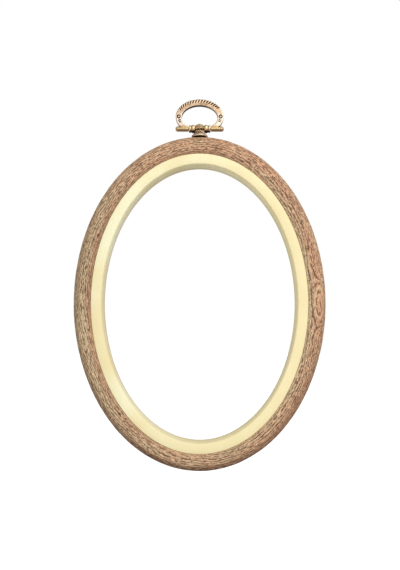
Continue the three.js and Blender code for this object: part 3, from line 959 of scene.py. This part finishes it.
class HOOP_OT_inner_ring(bpy.types.Operator):
    """Build the cream inner ring with its crowned face, lip and ribs"""

    bl_idname = "hoop.inner_ring"
    bl_label = "Cream inner ring"

    def execute(self, context):
        sizes = in_mm(context.scene.hoop_rings)
        front_y, back_y = INNER_LOW[1], INNER_HIGH[1]
        wall = -sizes.fit_gap / 2
        window = -sizes.inner_width
        core_in = window + sizes.wall
        core_out = wall - sizes.wall
        core_end = front_y + sizes.face_thickness
        land_in = window + sizes.window_round_width
        land_out = wall - sizes.seat_round
        edge_y = front_y + sizes.land_crown
        share = np.linspace(-1, 1, 13)
        land = np.stack([
            land_in + (land_out - land_in) * (0.5 + share / 2), front_y + sizes.land_crown * share * share,
        ], 1)
        front = np.concatenate([
            ellipse_arc(
                (land_in, edge_y + sizes.window_round_depth),
                (sizes.window_round_width, sizes.window_round_depth), 180, 268, 24,
            ),
            land[1:-1],
            ellipse_arc((land_out, edge_y + sizes.seat_round), (sizes.seat_round,) * 2, 272, 360, 6),
        ])
        lip_y = back_y - sizes.lip_thickness
        edge = sizes.lip_edge
        rest = rounded_path([
            tuple(front[-1]) + (0,), (wall, lip_y, 0.15), (sizes.lip_reach, lip_y, 0.12),
            (sizes.lip_reach, back_y, edge), (core_out, back_y, 0.2), (core_out, core_end, 0.35),
            (core_in, core_end, 0.35), (core_in, back_y, 0.2), (window, back_y, edge),
            tuple(front[0]) + (0,),
        ])
        section = np.concatenate([front, packed_line(rest, 0.8)[1:-1]])
        turns, _ = even_turns(sizes, INNER_RING_STEPS, window)
        ring = swept_ring("moulded_inner_ring", sizes, turns, section)
        ribs = []
        for i in range(sizes.rib_count):
            t = np.array(2 * math.pi * (i + 0.5) / sizes.rib_count)
            x, z, out_x, out_z = oval_place(sizes, t, (core_in + core_out) / 2)
            low = core_end - 0.3
            high = back_y - sizes.rib_setback
            size = (core_out - core_in + 0.6, high - low, sizes.rib_thickness)
            rib = block("rib", size, (0, (low + high) / 2, 0))
            spin(rib, -math.degrees(math.atan2(out_z, out_x)), "Y")
            ribs.append(move(rib, x=float(x), z=float(z)))
        combine(ring, ribs, "UNION")
        dress(ring, "inner", "inner_ring", plastic_material(context.scene.hoop_finish))
        return {"FINISHED"}


class HOOP_OT_hanger_post(bpy.types.Operator):
    """Build the cast post: flange, twisted flutes, four-sided boss and beads"""

    bl_idname = "hoop.hanger_post"
    bl_label = "Cast post"

    @staticmethod
    def barrel(sizes):
        """The beads on both sides of the boss, as one body about X."""
        end = sizes.boss_half
        half = []
        for radius, span in (
            (sizes.bead_radius, sizes.bead_length), (sizes.outer_bead_radius, sizes.outer_bead_length),
        ):
            for share in np.linspace(0, 1, 12, endpoint=False):
                swell = (radius - BEAD_NECK) * math.sin(math.pi * share) ** 0.6
                half.append((BEAD_NECK + swell, end + span * share))
            end = end + span
        half.append((BEAD_NECK, end))
        return about_x(turned("beads", [(0, -end)] + mirrored(half) + half + [(0, end)], 64))

    def execute(self, context):
        sizes = in_mm(context.scene.hoop_hanger)
        neck_z = -sizes.neck_height - sizes.boss_radius + sizes.boss_sunk
        flange_z = neck_z - sizes.flange_thickness
        shank_end = POST_LOW[2] - PIN_Z
        edge = sizes.flange_thickness / 2
        flange = turned("cast_post", [
            (0, flange_z),
            *ellipse_arc((sizes.flange_radius - edge, flange_z + edge), (edge, edge), -90, 75, 9),
            (0, neck_z + 0.02),
        ], 96)
        foot = sizes.flange_radius - 0.6

        def fluted(radius, angle, height):
            rise = min(max((height - neck_z) / sizes.neck_height, 0), 1)
            wave = 0.5 - 0.5 * math.cos(sizes.flutes * (angle + sizes.flute_twist * rise))
            return radius - sizes.flute_depth * min(1, rise / 0.3) * wave**0.8

        share = np.linspace(0, 1, 14)
        radii = foot + (sizes.neck_radius - foot) * np.sin(share * math.pi / 2)
        side = zip(radii, neck_z + sizes.neck_height * share)
        neck = turned(
            "neck", [(0, neck_z - 0.2), (foot, neck_z - 0.2), *side, (0, 0)], sizes.flutes * 14, fluted
        )
        shank_radius = sizes.screw_radius + sizes.running_gap + SHANK_WALL
        shank = turned("shank", [
            (0, shank_end), (shank_radius - 0.15, shank_end), (shank_radius, shank_end + 0.15),
            (shank_radius, neck_z), (0, neck_z),
        ], 64)
        end = sizes.boss_half
        half = [(sizes.boss_radius, 0), (2.0, end - 0.4), (1.5, end), (0, end)]
        boss = about_x(turned("boss", mirrored(half[1:]) + half, 4))
        combine(flange, [neck, shank, boss, self.barrel(sizes)], "UNION")
        pin_bore = about_x(rod("bore", sizes.pin_radius + sizes.running_gap, -9, 9))
        screw_bore = rod("bore", sizes.screw_radius + sizes.running_gap, shank_end - 1, flange_z)
        combine(flange, [pin_bore, screw_bore], "DIFFERENCE")
        cast(flange, sizes.cast_grain)

        # Painted shade under the flange and the beads, and on every surface that faces down.
        def painted_shade(points, normals):
            under = points[:, 2] < flange_z + 0.3
            beads = (np.abs(points[:, 0]) > 2.2) & (points[:, 2] > -sizes.bead_radius)
            return (0.34 + 0.4 * under + 0.4 * beads) * np.clip(-normals[:, 2], 0, 1)

        mark_hollows(flange, painted_shade)
        move(flange, y=PIN_Y, z=PIN_Z)
        finish = context.scene.hoop_finish
        material = brass_material(
            "post brass", finish.post_metal, finish.flange_metal, PIN_Z - 1.9, finish.patina, 0.32, 0.42
        )
        dress(flange, "frame", "hanger_post", material)
        return {"FINISHED"}


class HOOP_OT_hanging_loop(bpy.types.Operator):
    """Build the cast hanging loop: bow, gadroons, rosettes and knuckles"""

    bl_idname = "hoop.hanging_loop"
    bl_label = "Cast hanging loop"

    @staticmethod
    def bow(sizes, half_width, half_height):
        """The plain bow, measured from the pin: a rounded band between an outer and an inner oval."""
        window_width = half_width - sizes.loop_side_band
        thick = sizes.loop_thickness / 2
        steps = 240
        angle = np.arange(steps) * 2 * math.pi / steps
        outer = np.stack([half_width * np.cos(angle), sizes.loop_centre + half_height * np.sin(angle)], 1)
        above = -PIN_Z - sizes.window_centre
        reach = np.where(np.sin(angle) > 0, above, sizes.window_centre - sizes.window_bottom)
        inner = np.stack([window_width * np.cos(angle), sizes.window_centre + reach * np.sin(angle)], 1)
        band = rounded_path([
            (0.5, -thick, 0), (1.0, -thick, BOW_ROUND), (1.0, thick, BOW_ROUND), (0.0, thick, BOW_ROUND),
            (0.0, -thick, BOW_ROUND), (0.5, -thick, 0),
        ], 5)
        across = outer - inner
        width = np.linalg.norm(across, axis=1)
        across /= width[:, None]
        points = []
        for place, direction, span in zip(inner, across, width):
            for share, depth in band[:-1]:
                # Only the middle is a share of the width. The rounds are millimetres from either edge.
                inset = share
                if share < 0.5:
                    inset = share / span
                elif share > 0.5:
                    inset = 1 - (1 - share) / span
                x, z = place + direction * span * inset
                points.append((x, depth, z))
        return new_piece("cast_loop", points, grid_faces(steps, len(band) - 1)[:, ::-1])

    def execute(self, context):
        sizes = in_mm(context.scene.hoop_hanger)
        half_width = LOOP_HIGH[0]
        centre = sizes.loop_centre
        half_height = LOOP_HIGH[2] - PIN_Z - centre
        window_width = half_width - sizes.loop_side_band
        window_height = -PIN_Z - sizes.window_centre
        thick = sizes.loop_thickness / 2
        rosette_x = half_width - sizes.loop_side_band / 2
        loop = self.bow(sizes, half_width, half_height)

        def bow_place(degrees):
            """A place on the bow's outline, and the direction outwards from it."""
            a = math.radians(degrees)
            out = Vector((math.sin(a) / half_width, math.cos(a) / half_height)).normalized()
            x = half_width * math.sin(a)
            return x, centre + half_height * math.cos(a), out

        cuts = []
        for i in range(sizes.gadroons):
            x, z, out = bow_place(GADROON_SPREAD * (i / (sizes.gadroons - 1) - 0.5))
            lean = math.degrees(math.atan2(out[0], out[1])) + GADROON_SLANT
            for face in (-1, 1):
                groove = turned("groove", [
                    (0, -2.0), (0.17, -1.9), (0.25, -1.5), (0.30, -0.6), (0.32, 0.4), (0.32, 1.0), (0, 1.0),
                ], 20)
                spin(groove, lean, "Y")
                cuts.append(move(groove, x=x, y=face * (thick + 0.02), z=z))
        for side in (-1, 1):
            x, z, out = bow_place(side * DASH_PLACE)
            for shift in (-0.4, 0.4):
                for face in (-1, 1):
                    half = [(0.2, 0.5), (0.16, 0.7), (0, 0.75)]
                    dash = about_x(turned("dash", mirrored(half) + half, 20))
                    move(dash, x=-sizes.loop_side_band / 2, y=face * (thick - 0.02), z=shift)
                    spin(dash, -math.degrees(math.atan2(out[1], out[0])), "Y")
                    cuts.append(move(dash, x=x, z=z))
        for side in (-1, 1):
            for face in (-1, 1):
                ring = spin(rod("ring", ROSETTE_RADIUS, -ROSETTE_DEPTH, 0.6, 40), 90 * face, "X")
                cuts.append(move(ring, x=side * rosette_x, y=face * thick, z=centre))
        barrel = sizes.boss_half + sizes.bead_length + sizes.outer_bead_length
        knuckle_start = barrel + KNUCKLE_GAP
        knuckle_end = barrel + CAD_KNUCKLE_GAP + sizes.knuckle_length
        cuts.append(block("below", (60, 60, 60), (0, 0, -30)))
        cuts.append(block("barrel", (2 * knuckle_start, 10, 5), (0, 0, 0)))
        combine(loop, cuts, "DIFFERENCE")

        added = []
        edge = 0.25
        radius = sizes.knuckle_radius
        for side in (-1, 1):
            for quarter, inner_end in ((90, -1.3), (-90, -1.0)):
                stud = turned("stud", [
                    (0, inner_end), (STUD_RADIUS, inner_end), (STUD_RADIUS, 1.0),
                    *ellipse_arc((0, 1.0), (STUD_RADIUS, 0.32), 20, 80, 3),
                    (0, 1.33),
                ], 32)
                spin(stud, quarter, "X")
                added.append(move(stud, x=side * rosette_x, z=centre))
            knuckle = about_x(turned("knuckle", [
                (0, knuckle_start), (radius, knuckle_start), (radius, knuckle_end - edge),
                *ellipse_arc((radius - edge, knuckle_end - edge), (edge, edge), 30, 90, 2),
                (0, knuckle_end),
            ], 56))
            if side < 0:
                spin(knuckle, 180, "Z")
            added.append(knuckle)
        combine(loop, added, "UNION")
        bore = about_x(rod("bore", sizes.pin_radius + sizes.running_gap, -14, 14))
        combine(loop, [bore], "DIFFERENCE")
        cast(loop, sizes.cast_grain)

        # Painted shade on the opening's wall and on surfaces that face down.
        def painted_shade(points, normals):
            upwards = points[:, 2] - sizes.window_centre
            inwards = np.hypot(points[:, 0] / window_width, upwards / window_height)
            wall = (inwards < 1.06) & (np.abs(normals[:, 1]) < 0.6) & (upwards > -2)
            # Less painted shade on the right of the opening, where light falls.
            rubbed = 1 - 0.7 * blend(1.0, 6.0, points[:, 0])
            return 0.34 * wall * rubbed + 0.14 * np.clip(-normals[:, 2], 0, 1)

        mark_hollows(loop, painted_shade)
        move(loop, y=PIN_Y, z=PIN_Z)
        finish = context.scene.hoop_finish
        material = brass_material(
            "loop brass", finish.loop_metal, finish.knuckle_metal, PIN_Z + 1.4, finish.patina, 0.45, 0.34,
            finish.flank_metal,
        )
        dress(loop, "loop", "hanging_loop", material)
        return {"FINISHED"}


class HOOP_OT_fasteners(bpy.types.Operator):
    """Build the headed pin, the threaded screw and its washer"""

    bl_idname = "hoop.fasteners"
    bl_label = "Pin, screw and washer"

    @staticmethod
    def pin(sizes, finish):
        head_radius = (PIN_HIGH[2] - PIN_LOW[2]) / 2
        end = PIN_HIGH[0]
        start = end - PIN_HEAD
        half = [
            (sizes.pin_radius, start - 0.12), (sizes.pin_radius + 0.08, start),
            *ellipse_arc((0, start), (head_radius, PIN_HEAD), 0, 84, 9),
        ]
        pin = about_x(turned("headed_pin", [(0, -end)] + mirrored(half) + half + [(0, end)], 48))
        mark_hollows(pin, reach=0.3, rounds=2)
        move(pin, y=PIN_Y, z=PIN_Z)
        metal = finish.pin_metal
        brass = brass_material("pin brass", metal, metal, PIN_Z, finish.patina, 0.45, 0.32)
        dress(pin, "loop", "hinge_pin", brass)

    @staticmethod
    def screw(sizes, finish):
        low, high = SCREW_LOW[2], SCREW_HIGH[2]
        head = (SCREW_HIGH[0] - SCREW_LOW[0]) / 2
        head_top = WASHER_LOW[2] - SEATING_GAP
        tip = high - SCREW_CHAMFER

        def threaded(radius, angle, height):
            if height < head_top + 0.3 or height > tip:
                return radius
            turn = (height / sizes.thread_pitch - angle / (2 * math.pi)) % 1.0
            return radius - THREAD_DEPTH * abs(2 * turn - 1)

        crown = (head_top - low) / 2
        screw = turned("slotted_screw", [
            (0, low),
            *ellipse_arc((0, low + crown), (head, crown), -84, 0, 9),
            (head, head_top - 0.08), (head - 0.08, head_top),
            *[(sizes.screw_radius, z) for z in np.arange(head_top + 0.02, tip, 0.05)],
            (sizes.screw_radius - SCREW_CHAMFER, high), (0, high),
        ], 48, threaded)
        combine(screw, [block("slot", (12, 0.5, 1.1), (0, 0, low))], "DIFFERENCE")
        move(screw, y=PIN_Y)
        steel = steel_material("screw steel", finish.steel, 0.3)
        dress(screw, "frame", "hanger_screw", steel)

    @staticmethod
    def washer(sizes, finish):
        radius = WASHER_HIGH[0]
        low, high = WASHER_LOW[2], WASHER_HIGH[2]
        washer = turned("flat_washer", [
            (0, low), (radius - 0.12, low), (radius - 0.03, low + 0.05), (radius, low + 0.14),
            (radius, high - 0.05), (radius - 0.05, high), (0, high),
        ], 72)
        combine(washer, [rod("hole", sizes.screw_radius + HOLE_GAP, low - 1, high + 1)], "DIFFERENCE")
        move(washer, y=PIN_Y)
        steel = steel_material("washer steel", finish.steel, 0.36)
        dress(washer, "frame", "screw_washer", steel)

    def execute(self, context):
        sizes = in_mm(context.scene.hoop_hanger)
        for build in (self.pin, self.screw, self.washer):
            build(sizes, context.scene.hoop_finish)
        return {"FINISHED"}


class HOOP_OT_stage(bpy.types.Operator):
    """Set up the camera, the lamp, the floor and the white surroundings"""

    bl_idname = "hoop.stage"
    bl_label = "Studio"

    @staticmethod
    def by_ray(tree, seen, mirrored_light, felt):
        """A value for what the camera sees, one for what a surface mirrors, and one for plain light."""
        path = tree.nodes.new("ShaderNodeLightPath")
        ray = {socket.name: Value(tree, socket) for socket in path.outputs}
        direct = greatest(ray["Is Camera Ray"], ray["Is Transmission Ray"])
        other = output_of(tree, "ShaderNodeMix", 0, {0: ray["Is Glossy Ray"], 2: felt, 3: mirrored_light})
        return output_of(tree, "ShaderNodeMix", 0, {0: direct, 2: other, 3: seen})

    def floor_material(self):
        """Pale felt that is plain white to the camera, but keeps the hoop's shadow. It also glows in what
        metal mirrors, more towards the left, as a painted reflection.
        """
        material = bpy.data.materials.new("floor")
        material.use_nodes = True
        tree = material.node_tree
        tree.nodes.clear()
        # Painted reflection: the floor glows only in what metal mirrors, and more towards the left.
        mirrored_glow = object_place(tree, "X").ranged(-0.03, -0.12, 0.04, 0.70)
        paint = output_of(tree, "ShaderNodeBsdfDiffuse", 0, {"Color": self.by_ray(tree, 0.55, 0.24, 0.66)})
        glow = output_of(tree, "ShaderNodeEmission", 0, {"Strength": self.by_ray(tree, 0.76, mirrored_glow, 0.0)})
        both = output_of(tree, "ShaderNodeAddShader", 0, {0: paint, 1: glow})
        put(tree, "ShaderNodeOutputMaterial", {"Surface": both})
        return material

    def surroundings(self, settings):
        """A white world. It lights the hoop mostly from the horizon, and metal mirrors a brighter front."""
        world = bpy.data.worlds.new("surroundings")
        world.use_nodes = True
        tree = world.node_tree
        tree.nodes.clear()
        generated = output_of(tree, "ShaderNodeTexCoord", "Generated")
        way = put(tree, "ShaderNodeSeparateXYZ", {0: generated})
        x, y, z = [Value(tree, socket) for socket in way.outputs]
        ahead = y.ranged(-0.35, -0.92)
        aside = (z * 0.7 + x * 1.2).ranged(0.35, 1.1)
        reflected = ahead * (settings.front - settings.sides) + settings.sides + aside * 0.5
        felt = z.ranged(0.0, 1.0, 0.96, 0.42) * settings.sky
        strength = self.by_ray(tree, 1.0, reflected, felt)
        air = output_of(tree, "ShaderNodeBackground", 0, {"Color": WHITE, "Strength": strength})
        put(tree, "ShaderNodeOutputWorld", {"Surface": air})
        return world

    def execute(self, context):
        settings = context.scene.hoop_stage
        scene = context.scene

        camera = bpy.data.objects.new("camera", bpy.data.cameras.new("camera"))
        scene.collection.objects.link(camera)
        camera.data.sensor_width = 36
        camera.data.lens = settings.lens
        camera.data.shift_x, camera.data.shift_y = CAMERA_SHIFT
        camera.data.clip_start = 0.01
        height = (OVAL_Z - CAMERA_DROP) * MM
        camera.location = (CAMERA_X * MM, INNER_LOW[1] * MM - settings.distance, height)
        camera.rotation_euler = (math.radians(90), 0, 0)
        scene.camera = camera

        light = bpy.data.lights.new("key", "AREA")
        light.shape = "RECTANGLE"
        light.size, light.size_y = 0.5, 0.5
        light.energy = settings.key
        lamp = bpy.data.objects.new("key", light)
        lamp.location = KEY_PLACE
        aim = Vector((0, 0, OVAL_Z * MM)) - Vector(KEY_PLACE)
        lamp.rotation_euler = aim.to_track_quat("-Z", "Y").to_euler()
        scene.collection.objects.link(lamp)

        mesh = bpy.data.meshes.new("floor")
        mesh.from_pydata([(-3, -3, 0), (3, -3, 0), (3, 3, 0), (-3, 3, 0)], [], [(0, 1, 2, 3)])
        mesh.materials.append(self.floor_material())
        floor = bpy.data.objects.new("floor", mesh)
        floor.location = (0, 0, RING_LOW[2] * MM - settings.floor_drop)
        scene.collection.objects.link(floor)

        scene.world = self.surroundings(settings)
        scene.view_settings.view_transform = "Standard"
        return {"FINISHED"}


STEPS = (
    HOOP_OT_outer_ring, HOOP_OT_inner_ring, HOOP_OT_hanger_post, HOOP_OT_hanging_loop, HOOP_OT_fasteners,
    HOOP_OT_stage,
)
GROUPS = {
    "hoop_rings": HoopRings, "hoop_hanger": HoopHanger, "hoop_finish": HoopFinish, "hoop_stage": HoopStage,
}


class HOOP_PT_sidebar(bpy.types.Panel):
    """Sizes, colours and steps of the hoop"""

    bl_idname = "HOOP_PT_sidebar"
    bl_label = "Embroidery hoop"
    bl_space_type = "VIEW_3D"
    bl_region_type = "UI"
    bl_category = "Hoop"

    def draw(self, context):
        column = self.layout.column()
        for key, group in GROUPS.items():
            column.label(text=group.__doc__)
            for name in group.__annotations__:
                column.prop(getattr(context.scene, key), name)
        for step in STEPS:
            column.operator(step.bl_idname)


CLASSES = (*GROUPS.values(), *STEPS, HOOP_PT_sidebar)


def register():
    for each in CLASSES:
        bpy.utils.register_class(each)
    for key, group in GROUPS.items():
        setattr(bpy.types.Scene, key, PointerProperty(type=group))


def unregister():
    for key in GROUPS:
        delattr(bpy.types.Scene, key)
    for each in reversed(CLASSES):
        bpy.utils.unregister_class(each)


def main():
    register()
    bpy.ops.hoop.outer_ring()
    bpy.ops.hoop.inner_ring()
    bpy.ops.hoop.hanger_post()
    bpy.ops.hoop.hanging_loop()
    bpy.ops.hoop.fasteners()
    bpy.ops.hoop.stage()
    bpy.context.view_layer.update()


if __name__ == "__main__":
    main()
